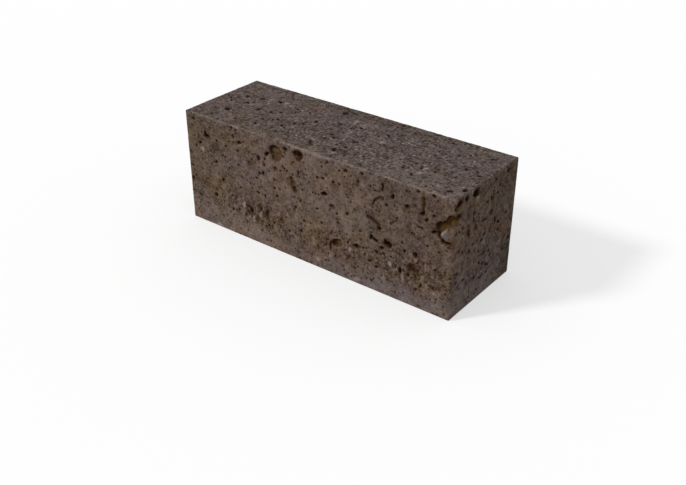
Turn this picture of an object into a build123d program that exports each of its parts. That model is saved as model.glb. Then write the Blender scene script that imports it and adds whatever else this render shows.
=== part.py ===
from build123d import *
from math import atan, cos, degrees, radians, sin
import os
from typing import NamedTuple

# A concrete paving block, cast as one piece, standing on its bed with its wearing face up.
# X runs along the block, -Y is the front face and Z is up. The origin is the centre of the
# underside. Sizes are in millimetres.

# Block
block_length = 210.0
block_width = 70.0
block_height = 80.0

# Roundings left by the mould and by handling
upright_round = 0.8
wearing_round = 1.0
bed_round = 0.8

# Narrow upright slot near the right end of the front, as shares of the front's sides
slot_along = 0.400
slot_up = 0.369
slot_length = 12.0
slot_width = 1.8
slot_deep = 1.2

# Height of the pocket that is broken out of the right front arris, as a share of the front's
# height from its middle
pocket_up = 0.260

# Stone of the mix that fills the lower part of the pocket: its corners from the arris and the
# pocket's height, how far it lies below the face, and how far it reaches in
stone_corners = [(8.6, -5.4), (6.8, -1.8), (3.4, 1.0), (-1.0, 2.6), (-1.0, -8.0), (5.8, -8.2)]
stone_cover = 0.5
stone_deep = 6.0

# Directions of a pit's corners, in degrees, uneven as a pulled-out grain leaves them, and how
# far each wall leans in, as a share of the pit's width
pit_bearings = (12, 74, 128, 196, 251, 318)
pit_lean = 0.16


class Void(NamedTuple):
    """Round air void in a face.

    Its place is a share of the face's two sides, counted from the middle. run is how far it
    is drawn out past its mouth, in the direction turn, in degrees from the face's length.
    """

    along: float
    up: float
    mouth: float
    deep: float
    run: float = 0.0
    turn: float = 0.0


class Pit(NamedTuple):
    """Small angular pit in a face, placed as a void is, long in the direction turn."""

    along: float
    up: float
    long: float
    wide: float
    deep: float
    turn: float = 0.0


class Lobe(NamedTuple):
    """Round part of the broken pocket, placed from the arris and the pocket's height."""

    inset: float
    rise: float
    mouth: float
    deep: float


class Furrow(NamedTuple):
    """Curved furrow in a face, through three places that are shares of the face's sides."""

    start: tuple
    middle: tuple
    end: tuple
    mouth: float
    deep: float


front_voids = [
    # the two largest voids, just below the wearing face
    Void(-0.134, 0.384, 9.2, 3.8),
    Void(-0.130, 0.348, 8.2, 3.4),
    Void(-0.051, 0.435, 4.8, 3.2),
    Void(-0.031, 0.436, 4.0, 2.6),
    Void(-0.042, 0.404, 4.8, 3.0),
    # upright void in the middle
    Void(-0.063, 0.165, 5.0, 1.6, 4.4, 80),
    # the large low void
    Void(0.104, -0.201, 5.4, 2.6, 3.2, 22),
    # right
    Void(0.370, -0.163, 5.2, 2.0),
]

front_pits = [
    # round the two largest voids and to their left
    Pit(-0.089, 0.447, 4.4, 3.4, 2.0),
    Pit(-0.165, 0.347, 3.4, 2.8, 2.0, 30),
    Pit(-0.198, 0.294, 4.2, 3.8, 1.8, 50),
    Pit(-0.130, 0.246, 4.2, 3.6, 0.9),
    Pit(-0.235, 0.216, 5.2, 4.0, 0.9, 15),
    Pit(-0.180, 0.173, 3.4, 3.0, 2.2, 100),
    Pit(-0.135, 0.145, 2.8, 2.2, 1.3),
    Pit(-0.040, 0.288, 4.6, 1.9, 1.4, 88),
    # upper left
    Pit(-0.276, 0.371, 5.2, 2.8, 1.4, 20),
    Pit(-0.418, 0.328, 5.2, 3.8, 2.4, -20),
    Pit(-0.470, 0.449, 3.4, 2.6, 1.6, 15),
    Pit(-0.300, 0.407, 3.8, 2.4, 1.3, 90),
    Pit(-0.283, 0.289, 3.0, 2.6, 1.3),
    Pit(-0.448, 0.247, 3.2, 2.6, 1.6, 15),
    Pit(-0.467, 0.211, 2.8, 2.2, 1.3, 70),
    Pit(-0.492, 0.131, 3.0, 2.8, 1.6),
    # middle
    Pit(0.054, 0.180, 4.4, 3.2, 2.0, 10),
    Pit(0.087, 0.102, 5.0, 3.8, 2.0, -15),
    Pit(0.142, 0.087, 3.2, 2.6, 1.6, 60),
    Pit(-0.053, -0.026, 2.8, 2.4, 1.6, 30),
    Pit(-0.019, -0.118, 2.8, 2.4, 1.4),
    # beside the large low void
    Pit(0.079, -0.236, 4.6, 2.8, 1.8, 80),
    Pit(0.178, -0.164, 4.4, 2.8, 1.8),
    # lower left
    Pit(-0.392, -0.191, 3.8, 3.4, 2.4, 25),
    Pit(-0.237, -0.213, 5.2, 3.2, 2.4, 80),
    Pit(-0.202, -0.149, 6.2, 5.0, 1.1, 20),
    Pit(-0.199, -0.172, 2.8, 2.4, 2.2, 30),
    Pit(-0.169, -0.180, 6.2, 4.0, 1.2, 80),
    Pit(-0.318, -0.271, 3.2, 2.4, 1.5, 50),
    # right
    Pit(0.286, -0.046, 6.4, 4.6, 2.4, -15),
    Pit(0.264, -0.100, 3.8, 3.0, 1.8, 20),
    Pit(0.227, -0.036, 4.2, 2.6, 1.8, 75),
    Pit(0.344, -0.050, 3.2, 2.4, 1.8, 80),
    Pit(0.381, -0.045, 5.0, 3.4, 2.4, 80),
    Pit(0.330, -0.228, 5.4, 2.8, 2.0, 85),
    Pit(0.257, 0.063, 3.2, 2.8, 1.6, 20),
    Pit(0.250, -0.275, 3.0, 2.2, 1.5, 60),
    Pit(0.299, 0.362, 4.2, 3.0, 1.6, 60),
    Pit(0.347, 0.324, 4.0, 3.0, 1.6, 15),
    Pit(0.265, 0.424, 4.0, 2.4, 1.6, 100),
    Pit(0.281, 0.276, 2.8, 2.4, 1.3),
    Pit(0.195, 0.460, 3.0, 2.6, 1.4, -10),
    Pit(0.136, 0.438, 3.6, 2.6, 1.4, -10),
    Pit(0.396, 0.305, 3.2, 2.6, 2.4, 80),
    Pit(0.436, 0.189, 3.8, 2.2, 1.8, 8),
]

right_end_voids = [Void(-0.164, 0.434, 6.4, 3.0)]

right_end_pits = [
    # upper end of the broken corner
    Pit(-0.431, 0.335, 6.6, 3.4, 1.9, 18),
    Pit(-0.318, 0.442, 4.4, 3.6, 2.2, 10),
    Pit(0.340, 0.436, 4.6, 2.2, 1.4, -10),
    # middle
    Pit(-0.176, 0.282, 5.2, 2.4, 1.2, 90),
    Pit(-0.249, 0.157, 7.2, 3.0, 1.0, 82),
    Pit(0.110, 0.177, 4.4, 3.0, 2.0, -10),
    Pit(0.012, 0.154, 4.4, 2.2, 1.4, -10),
    Pit(0.186, 0.088, 4.2, 2.8, 1.8, 100),
    Pit(0.361, 0.088, 3.4, 2.4, 1.3, 30),
    Pit(-0.216, -0.024, 3.6, 2.8, 1.8),
    Pit(-0.124, -0.046, 3.6, 2.4, 1.4, 10),
    # low
    Pit(0.019, -0.133, 3.2, 2.8, 1.4, 70),
    Pit(0.155, -0.198, 3.6, 3.0, 1.4),
    Pit(-0.402, -0.136, 3.8, 2.0, 1.4),
    Pit(-0.317, -0.127, 3.2, 2.8, 1.4, 45),
    Pit(-0.225, -0.282, 3.6, 2.4, 1.3, -50),
    Pit(0.028, -0.334, 4.2, 2.6, 1.7, 20),
    Pit(0.105, -0.333, 3.6, 2.4, 1.4, -30),
]

wearing_face_voids = [Void(-0.406, -0.219, 5.2, 2.8)]

wearing_face_pits = [
    # left
    Pit(-0.373, 0.174, 5.2, 4.6, 1.1, 30),
    Pit(-0.309, 0.224, 4.6, 3.4, 2.0),
    Pit(-0.425, 0.128, 3.2, 2.8, 1.6),
    Pit(-0.322, -0.045, 4.2, 3.0, 1.4, 85),
    Pit(-0.274, -0.031, 3.8, 3.0, 1.4),
    Pit(-0.258, -0.316, 3.8, 2.6, 1.2, -45),
    Pit(-0.160, -0.093, 3.0, 2.6, 1.5),
    Pit(-0.181, -0.202, 3.0, 2.4, 1.4, -45),
    # middle
    Pit(-0.085, 0.374, 4.4, 3.2, 2.0, 95),
    Pit(-0.048, 0.152, 3.8, 2.8, 1.7),
    Pit(-0.020, -0.076, 3.0, 2.6, 1.5),
    Pit(0.003, -0.124, 3.8, 2.6, 1.5, -10),
    Pit(0.048, -0.315, 4.4, 3.2, 1.6, 60),
    Pit(0.068, -0.087, 3.6, 3.0, 1.5),
    Pit(0.068, -0.218, 3.2, 2.0, 1.3, -50),
    # right
    Pit(0.171, -0.427, 3.8, 2.4, 1.5, -50),
    Pit(0.453, -0.384, 3.2, 2.8, 1.8),
    Pit(0.486, -0.297, 4.2, 3.0, 2.0, 90),
    Pit(0.423, 0.036, 3.6, 2.2, 1.5, -60),
    Pit(0.449, 0.341, 3.2, 2.8, 1.4, 20),
]

# the two sides that stand behind carry the same kind of voids and pits
back_voids = [Void(0.130, 0.405, 6.0, 3.2)]

back_pits = [
    Pit(-0.452, 0.395, 3.2, 2.6, 1.5, 10),
    Pit(-0.310, 0.350, 6.2, 4.2, 2.2, 20),
    Pit(-0.225, 0.205, 3.4, 2.4, 1.4, 60),
    Pit(-0.085, 0.290, 4.6, 3.2, 1.8, 35),
    Pit(-0.020, 0.425, 3.4, 2.6, 1.6),
    Pit(0.170, 0.130, 4.2, 2.6, 1.5, 75),
    Pit(0.330, 0.275, 3.4, 2.6, 1.4, 25),
    Pit(0.395, 0.060, 3.6, 3.0, 1.8, 50),
    Pit(0.050, 0.060, 3.0, 2.6, 1.4),
    Pit(-0.120, -0.120, 6.2, 3.8, 2.2, 80),
    Pit(0.245, -0.230, 4.4, 3.0, 1.6),
    Pit(-0.405, -0.055, 3.4, 3.0, 1.6, 70),
    Pit(-0.290, -0.270, 3.6, 2.8, 1.5, 45),
    Pit(0.085, -0.290, 4.2, 2.6, 1.6, 15),
]

left_end_pits = [
    Pit(0.210, 0.380, 5.6, 4.6, 2.4, 20),
    Pit(-0.290, 0.330, 3.4, 2.6, 1.4, 40),
    Pit(-0.170, 0.060, 4.8, 3.0, 1.8, 85),
    Pit(0.340, 0.120, 3.6, 2.6, 1.4, 60),
    Pit(0.060, -0.250, 3.4, 3.0, 1.4),
    Pit(-0.350, -0.170, 3.2, 2.4, 1.4, 20),
]

front_furrows = [
    Furrow((0.226, -0.012), (0.236, -0.036), (0.254, -0.050), 2.4, 1.6),
    Furrow((0.233, 0.235), (0.242, 0.292), (0.270, 0.322), 2.2, 1.2),
    Furrow((0.210, 0.124), (0.236, 0.110), (0.256, 0.078), 4.4, 1.1),
    # crack below the stone in the broken corner
    Furrow((0.449, 0.206), (0.463, 0.156), (0.493, 0.145), 1.5, 1.5),
]

right_end_furrows = [
    # crack that runs on above the broken corner
    Furrow((-0.491, 0.408), (-0.478, 0.450), (-0.411, 0.458), 2.2, 1.3),
]

wearing_face_furrows = [
    Furrow((-0.045, -0.295), (-0.032, -0.350), (-0.014, -0.371), 3.0, 1.1),
]

# the pocket's round parts, from the face's middle towards the arris
pocket_lobes = [
    Lobe(7.8, -0.6, 8.8, 3.0),
    Lobe(4.8, 1.8, 7.4, 2.8),
    Lobe(2.0, 5.2, 7.4, 3.0),
]


def cast_block():
    """The block as it leaves the mould, with rounded arrises and a flat bed."""
    outline = RectangleRounded(block_length, block_width, upright_round)
    block = extrude(outline, block_height)
    block = fillet(block.edges().group_by(Axis.Z)[-1], wearing_round)
    return fillet(block.edges().group_by(Axis.Z)[0], bed_round)


def plane_at(centre, along, outward):
    """Plane with X along a face and Z out of it."""
    return Plane(origin=centre, x_dir=along, z_dir=outward)


def ball(mouth, deep):
    """Ball that opens at Z = 0 with the given mouth and reaches the given depth."""
    radius = (mouth**2 / 4 + deep**2) / (2 * deep)
    return Pos(0, 0, radius - deep) * Sphere(radius)


def air_void(void):
    """Void at Z = 0: a ball, or two balls and the round trough between them."""
    if void.run == 0:
        return ball(void.mouth, void.deep)
    radius = (void.mouth**2 / 4 + void.deep**2) / (2 * void.deep)
    trough = Pos(0, 0, radius - void.deep) * Rot(0, 90, 0) * Cylinder(radius, void.run)
    stops = (-void.run / 2, void.run / 2)
    return trough + [Pos(stop, 0, 0) * ball(void.mouth, void.deep) for stop in stops]


def grain_pit(long, wide, deep):
    """Pit at Z = 0 with six uneven corners and walls that lean in."""
    corners = [
        (long / 2 * cos(radians(bearing)), wide / 2 * sin(radians(bearing)))
        for bearing in pit_bearings
    ]
    prism = extrude(Polygon(*corners, align=None), amount=-deep)
    walls = prism.faces() - prism.faces().filter_by(Axis.Z)
    return draft(walls, Plane.XY, -degrees(atan(pit_lean * wide / deep)))


def placed(face, size, mark):
    """Place of a void or pit on a face, turned to the way that it runs."""
    return face * Pos(mark.along * size[0], mark.up * size[1]) * Rot(0, 0, mark.turn)


def cavities(face, size, voids, pits):
    """All the round voids and angular pits of one face."""
    round_ones = [placed(face, size, void) * air_void(void) for void in voids]
    angular_ones = [
        placed(face, size, pit) * grain_pit(pit.long, pit.wide, pit.deep) for pit in pits
    ]
    return round_ones + angular_ones


def furrow_on(face, size, furrow):
    """Furrow with a V section, swept along an arc that lies in the face."""
    stops = [
        Vector(along * size[0], up * size[1])
        for along, up in (furrow.start, furrow.middle, furrow.end)
    ]
    path = ThreePointArc(*stops)
    across = (path % 0).cross(Vector(0, 0, 1))
    half = furrow.mouth / 2
    section = Plane(origin=path @ 0, x_dir=across, z_dir=path % 0) * Polygon(
        (-half, 0), (0, -furrow.deep), (half, 0), (0, furrow.deep), align=None
    )
    return face * sweep(section, path=path)


def corner_pocket(front):
    """What broke out of the right front arris, less the stone that stayed in it."""
    corner = front * Pos(block_length / 2, pocket_up * block_height)
    lobes = [
        corner * Pos(-lobe.inset, lobe.rise) * ball(lobe.mouth, lobe.deep)
        for lobe in pocket_lobes
    ]
    outline = Polygon(*[(-inset, rise) for inset, rise in stone_corners], align=None)
    stone = extrude(corner * Pos(0, 0, -stone_cover) * outline, amount=-stone_deep)
    return lobes[0] + lobes[1:] - stone


def upright_slot(front):
    """Narrow slot in the front, with round ends."""
    place = Pos(slot_along * block_length, slot_up * block_height) * Rot(0, 0, 90)
    return front * place * extrude(SlotOverall(slot_length, slot_width), amount=-slot_deep)


def paver():
    """The whole block with its voids, pits, furrows, slot and broken arris."""
    end, side, middle = block_length / 2, block_width / 2, block_height / 2
    front = plane_at((0, -side, middle), (1, 0, 0), (0, -1, 0))
    back = plane_at((0, side, middle), (-1, 0, 0), (0, 1, 0))
    right_end = plane_at((end, 0, middle), (0, 1, 0), (1, 0, 0))
    left_end = plane_at((-end, 0, middle), (0, -1, 0), (-1, 0, 0))
    wearing_face = plane_at((0, 0, block_height), (1, 0, 0), (0, 0, 1))

    long_side = (block_length, block_height)
    end_side = (block_width, block_height)
    top_side = (block_length, block_width)

    cuts = cavities(front, long_side, front_voids, front_pits)
    cuts += cavities(back, long_side, back_voids, back_pits)
    cuts += cavities(right_end, end_side, right_end_voids, right_end_pits)
    cuts += cavities(left_end, end_side, [], left_end_pits)
    cuts += cavities(wearing_face, top_side, wearing_face_voids, wearing_face_pits)
    cuts += [furrow_on(front, long_side, furrow) for furrow in front_furrows]
    cuts += [furrow_on(right_end, end_side, furrow) for furrow in right_end_furrows]
    cuts += [furrow_on(wearing_face, top_side, furrow) for furrow in wearing_face_furrows]
    cuts += [upright_slot(front), corner_pocket(front)]
    return cast_block() - cuts


os.makedirs("parts", exist_ok=True)
export_step(paver(), "parts/paver_block.step")
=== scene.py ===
import math

import bpy
import numpy as np
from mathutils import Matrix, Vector
from mathutils.bvhtree import BVHTree


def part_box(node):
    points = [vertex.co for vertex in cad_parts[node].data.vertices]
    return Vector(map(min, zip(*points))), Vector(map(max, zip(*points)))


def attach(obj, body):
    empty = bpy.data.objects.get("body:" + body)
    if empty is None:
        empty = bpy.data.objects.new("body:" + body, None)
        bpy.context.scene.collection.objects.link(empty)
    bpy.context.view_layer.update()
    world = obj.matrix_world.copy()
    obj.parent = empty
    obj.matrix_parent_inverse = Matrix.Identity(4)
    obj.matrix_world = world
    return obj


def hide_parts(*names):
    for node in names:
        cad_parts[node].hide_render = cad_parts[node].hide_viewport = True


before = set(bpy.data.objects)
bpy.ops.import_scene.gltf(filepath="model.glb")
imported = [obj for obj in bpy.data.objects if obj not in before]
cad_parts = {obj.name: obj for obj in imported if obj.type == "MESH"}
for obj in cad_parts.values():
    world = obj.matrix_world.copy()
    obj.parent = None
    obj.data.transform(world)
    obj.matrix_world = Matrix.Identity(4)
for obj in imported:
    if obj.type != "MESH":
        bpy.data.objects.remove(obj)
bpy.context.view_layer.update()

# The paver's own frame: X along it, -Y the front face, Z up, origin under its middle.
# The skin is worked out in millimetres and made in metres.
NODE = "paver_block"
MM = 0.001

# Skin: step between its points, rounding of its arrises, how far from the arrises its lines into
# the block fan out, least gap to the solid's box, and gap between the faces in its map
GRID_MM = 0.42
HULL_ROUND_MM = 0.8
FAN_MM = 8.0
BOX_GAP_MM = 0.01
MAP_GAP_MM = 4.0
TRIANGLE_BUDGET = 190000

# Lines into the solid: how far above the skin they start, and how far they look
LIFT_MM = 1.0
LOOK_MM = 20.0

# Hollows of the cast surface: how wide and how deep the waves, the lumps, the grain and the worn
# stretches of the arrises are
WAVE_MM, WAVE_DEEP_MM = 24.0, 0.12
LUMP_MM, LUMP_DEEP_MM = 5.0, 0.20
GRAIN_MM, GRAIN_DEEP_MM = 2.0, 0.24
WORN_MM, WORN_DEEP_MM = 8.0, 0.20

# Width of the worn strip along an arris, and of the wearing face's edge on the sides
WEAR_MM = 1.6
TOP_EDGE_MM = 1.5

# Rough band low on the sides: the heights between which it comes in, and goes out again
BAND_FOOT_MM = (10.0, 18.0)
BAND_HEAD_MM = (28.0, 36.0)

# Uneven outlines: sizes of their waves, how far they stray for the size of a pit or a spot, and
# the margin in which a mark's points are looked for
WARP_MM = 3.0
FINE_WARP_MM = 1.3
PIT_WANDER = 0.16
SPOT_WANDER = 0.18
MARGIN_MM = 2.0

# Depth of a small pit for its width, and of a strewn hole
SMALL_PIT_DEPTH = 0.4
STREWN_DEPTH = 0.36

# Camera, solved from the six corners of the block's outline in the photograph. It stands 0.4
# percent nearer than solved, because the worn block is a little smaller than its box.
SENSOR_MM = 36.0
LENS_MM = 48.215
CAMERA_AZIMUTH = 37.783
CAMERA_ELEVATION = 30.401
CAMERA_DISTANCE_MM = 616.2
AIM_MM = (0.0, 0.0, -0.365)

# Light: where the lamp stands from the block, its level, its spread in degrees, and the sky's level. Where
# the lamp stands also sets which side of each void is painted lit.
LIGHT_FROM = (-0.46, -0.62, 0.56)
LAMP_LEVEL = 0.62
LAMP_SPREAD = 9
SKY_LEVEL = 0.62

# Floor: half its side in metres, how pale it is, and how much it glows to the camera
FLOOR_HALF_SIDE = 3.0
FLOOR_PALE = 0.55
FLOOR_GLOW = 0.55

# Faces as (axis, end): the axis that is square to the face, and 0 for its low end, 1 for high
FRONT = (1, 0)
BACK = (1, 1)
LEFT_END = (0, 0)
RIGHT_END = (0, 1)
WEARING = (2, 1)
BED = (2, 0)

# The lists below give the marks of each face. Places are in the paver's frame: X and Z on the
# front and back, Y and Z on the ends, X and Y on the wearing face. Turns are in degrees.

# Small pits, besides those that the solid has: place, length, width, and turn where they have
# one. They are shallow for their width.
SMALL_PITS = {
    FRONT: [
        (-36, 64.5, 2.4, 2), (-41, 53, 2.4, 2), (22, 44.5, 2.2, 1.9), (52.3, 28.3, 2.8, 2.5),
        (-71, 20.5, 2.2, 1.8), (-34.5, 17, 2.4, 1.9), (-64, 78.5, 2.8, 1.8), (-98, 20, 2.4, 2),
        (-80, 50, 2.8, 2, 15), (-7, 22.5, 2.4, 2.2), (-28.5, 46, 2.4, 2, 60), (-44, 49, 2.6, 2),
        (-43, 38.5, 3, 1.9, 10), (-37, 38, 2.2, 1.9), (-26.5, 41, 2.6, 2, 30), (-5.5, 52.3, 2, 1.7),
        (3, 53, 1.6, 1.3), (5.4, 53.2, 1.6, 1.3), (7.8, 53, 1.6, 1.3), (91.5, 66, 2.4, 1.9),
        (90.5, 78.2, 2.6, 1.9), (80, 78, 2.4, 1.8), (19.5, 65, 2.4, 1.9), (7, 64.5, 2.4, 1.9),
        (11, 65, 2.2, 1.8), (50.5, 69, 3.4, 1.3), (24, 65, 1.9, 1.6), (-20, 62.5, 2, 1.7),
        (-23, 60, 1.7, 1.5), (-17.5, 61.5, 2, 1.6), (-36.5, 59.8, 2.2, 1.5), (-21, 70.5, 2, 2),
        (-12.5, 69, 2.2, 1.4, 20), (23, 38.5, 2.8, 1.6), (40, 38.5, 2.2, 1.7), (-7, 44, 3, 1.5, 60),
        (6.5, 43, 2.4, 1.4, 20), (-13, 60, 2, 1.5, 90), (38, 71, 3.8, 1.7, 80), (72, 76, 2, 1.5),
        (15, 77, 2.2, 1.5), (10.5, 72.5, 1.9, 1.5), (24, 74, 2, 1.6), (30.5, 27.5, 2.4, 1.7, 60),
        (42, 27.5, 2.2, 1.6), (87, 62, 2.2, 1.7), (70.5, 41.5, 2, 1.5), (77, 50, 2, 1.5),
        (82, 55.5, 3.6, 1.4), (94, 31.5, 2.6, 1.9), (84.5, 17, 2.8, 2, 60), (75.5, 21, 2.4, 1.7, 80),
        (-55.5, 18, 2.4, 1.6, 60), (-17, 19, 2.2, 1.7), (-58.5, 37.5, 2, 1.5), (-67, 29, 2, 1.5),
        (-59.5, 53.5, 2.4, 1.7), (-48, 40, 1.8, 1.4), (-103.5, 31, 2.8, 2.2, 90), (-103, 41, 2.2, 1.7),
        (-100.5, 71, 2.2, 1.7), (84.4, 74, 3.2, 1.6, 85), (55.5, 65.4, 2.6, 2), (50, 62.5, 2.4, 1.8, 80),
        (47, 71, 1.6, 1.4), (66, 56, 1.6, 1.3), (96, 44, 1.7, 1.4), (88, 45.5, 2, 1.4), (29, 60, 1.5, 1.3),
        (35.5, 52, 1.6, 1.3), (-50, 24, 2, 1.4, 90), (-30, 20.5, 2.2, 1.5, 40), (-24, 25.5, 2.4, 1.6, 80),
        (10, 34, 1.8, 1.5), (63, 29, 2, 1.6), (47, 20, 2.4, 1.7, 20), (13, 8, 1.9, 1.5),
        (36, 11, 1.8, 1.5, 70), (49, 7, 2.4, 1.4, 30), (-61, 20, 2.4, 1.5, 60),
        (-52.5, 21.5, 2.2, 1.6, 90), (-71, 56, 2, 1.5), (-84, 73, 2, 1.5), (-88.6, 68.6, 2.6, 2.4, 60),
        (-74.6, 38.2, 3.2, 2.2, 90), (-62.6, 68.6, 1.8, 1.5), (-78.5, 65.2, 2.4, 1.7), (-60, 78, 2.2, 1.5),
        (-70.2, 64, 2.4, 1.8), (58.3, 38.4, 2.6, 2.2), (51.6, 35.9, 3.4, 2.1), (49.8, 36.6, 2.4, 1.7),
        (55.4, 71.2, 3, 1.8, 80), (86.2, 61.2, 2.2, 2), (83.6, 55.4, 2.4, 1.8),
    ],
    RIGHT_END: [
        (1.2, 64.3, 2.6, 2.4, 60), (5.6, 64.4, 4.2, 2.4, 115), (13, 65.2, 3.2, 1.9, -15),
        (18, 64, 2.2, 1.6), (-25.5, 58.5, 2.6, 2.1), (-29.2, 57.6, 2.2, 1.7), (-33.2, 57.6, 2.4, 1.9),
        (-14, 59, 3.4, 2.2, 90), (9.3, 75.2, 4, 1.7, -35), (-10.5, 52.4, 2.8, 2.4), (-2.6, 53, 2.2, 1.6),
        (16.4, 44.2, 4.4, 2, -40), (17.4, 38.4, 2.8, 2.3), (-28, 44.3, 3, 2.4), (-24, 41.8, 3, 2, 90),
        (0.2, 43.4, 3, 2), (-2.4, 39.8, 2.4, 1.7), (8, 28.4, 2.8, 2.4), (-3.2, 25, 3.6, 1.8, -10),
        (0.6, 22.4, 2.4, 1.6, -30), (6, 19.4, 2.2, 1.6), (-2, 13.6, 2.8, 2), (-21.4, 21.6, 3.2, 2.2),
        (-8, 17.2, 2.6, 2.6), (-29, 23.4, 2.8, 1.9), (32, 26, 4.4, 3), (25.4, 20.6, 3.2, 2.6),
        (-17.4, 6.2, 2.2, 1.6), (-13, 5.6, 2.2, 1.6, -40), (-3.8, 6.2, 2.4, 1.6, -40),
        (-13, 42, 2.6, 1.6, 80), (-5, 33.6, 2.4, 1.6, -30), (13, 33, 2, 1.6), (28, 61, 1.8, 1.5),
        (-20, 64, 1.8, 1.4, 90), (-4, 70, 1.7, 1.4), (15, 69, 3, 1.4, -35), (21, 60, 2, 1.4, -20),
        (-8, 60, 1.8, 1.5), (33, 39, 2, 1.6), (-17, 34.8, 2.8, 1.5, 20), (4, 36, 2, 1.4, -20),
        (-13, 9, 1.8, 1.4), (20, 9, 1.8, 1.4), (1.6, 13.8, 3.4, 2.8, -20), (-16.4, 38.4, 3.2, 2.8),
        (-29.4, 29.6, 4.2, 2), (0.8, 30.2, 3.4, 2.3), (6.4, 19.4, 2.8, 2, -20),
        (23.6, 75.6, 4.4, 2.6, -10),
    ],
    WEARING: [
        (0.5, 8.5, 3, 2.1, -45), (-82, 0.5, 4.4, 2, -40), (-53, 1.5, 2.8, 2, -45),
        (-24.5, 3, 3.4, 2.6, -45), (-37, 12, 2.8, 2, -40), (-4, -13.5, 3.4, 2, -50), (67.5, -13, 3, 2, 60),
        (4.5, 13, 3, 2.2, -40), (-49, -11, 3, 2, -45), (-51, -15, 2.4, 2), (-88, -28, 2.6, 1.9, 90),
        (-60, -9, 2.6, 1.9), (-56, -14, 2.2, 1.8), (-75, 12.5, 3, 2, 30), (67, -22.5, 3.2, 2, -45),
        (82, -30, 2.8, 1.8, -50), (96, 2.5, 2.6, 1.8, -50), (99.5, -1, 2.2, 1.7), (-45, 7, 2.6, 1.7, 60),
        (-94, -3, 3.2, 1.8, -40), (-98, 1, 2.8, 1.8, -40), (56, 20, 2.2, 1.7), (63.5, 13, 2.2, 1.7),
        (26, 13, 2.6, 1.9), (51, -10, 2.2, 1.5, 60), (8, -17, 2.4, 1.7), (-9, 0, 2.4, 1.7),
        (-19, -8, 2.2, 1.7), (24, 32, 3, 2.4), (22, 28, 2.6, 1.9), (91, 6, 2.2, 1.7),
        (18, -22, 2.4, 1.6, -50), (43, -12, 2.2, 1.7, -50), (58, -18, 2.4, 1.7, -50), (37, 0, 2.2, 1.7),
        (45, 4, 2, 1.6, 60), (76, -8, 2.4, 1.7, -50), (31, -20, 2.2, 1.6, -50), (-28, -20, 2.2, 1.7, -45),
        (-70, -24, 2.4, 1.8), (-89.6, 8.6, 3.6, 3, -30), (-9.7, 10.1, 3.6, 2.7, -30),
        (-3.6, -6.4, 3.2, 2.6, -60), (-33.8, -6.9, 3.4, 2.5, -50), (-38.3, -14.4, 3.3, 2.3, -60),
        (-58, -2.4, 4, 2.8, -30), (-68.5, -4, 4.4, 2.6, 80), (-25.2, 4, 3.8, 2.6, -45),
        (-47.8, 12.2, 3.2, 2.1, -50), (-88.4, -26.9, 3.8, 2.3, -70), (0.4, -8.9, 4.2, 3, 20),
        (15, -6.4, 3.5, 3.1), (14.6, -15.9, 3.7, 2.3, -50), (25.2, 13.6, 3.3, 2.3, -50),
        (95.4, 24, 4, 2.9, -40), (76.4, -12.1, 3, 2.2, -30), (89.4, -10.1, 2.6, 2, -60),
        (75.4, 15.5, 2.8, 2, -50), (81, 20, 2.6, 1.9, -50), (63.3, 28.5, 2.4, 2.1),
        (-79.2, 3.6, 2.6, 1.7, -40), (-46.5, -8.6, 2.6, 1.8, -45), (-55.4, -13.6, 2.8, 2, -40),
    ],
}

# How far each face's marks lie from their listed places: along at its low and its high end,
# and up. It fades out towards the arrises.
SLIDES = {FRONT: (0.9, -0.2, -0.4), RIGHT_END: (-0.4, -0.4, 0.2), WEARING: (1.2, 0.1, -0.6)}
SLIDE_FADE_MM = 4.0

# Voids of the solid that are moved a little: place, reach, and how far along and up
NUDGES = {
    FRONT: [(-27, 70, 9.5, 0.8, 1.5), (-8.5, 74.5, 6, 0.6, 0.9)],
    RIGHT_END: [(-4, 65, 29, -1, 0.6), (-4, 22, 29, -1, 0.4)],
}

# Flat floors of voids: place, width, height, turn, and the floor's depth. At no depth the
# void is filled, and pits of the skin's own take its place.
FLOORS = {
    FRONT: [
        (-26.5, 71, 15, 16, 0, 1.7), (-8, 75, 12, 12, 0, 1.7), (22, 24, 13, 9, 0, 2),
        (78, 27.5, 9, 9, 0, 1.4), (-13, 53.6, 8, 15, 0, 0),
    ],
}
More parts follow.
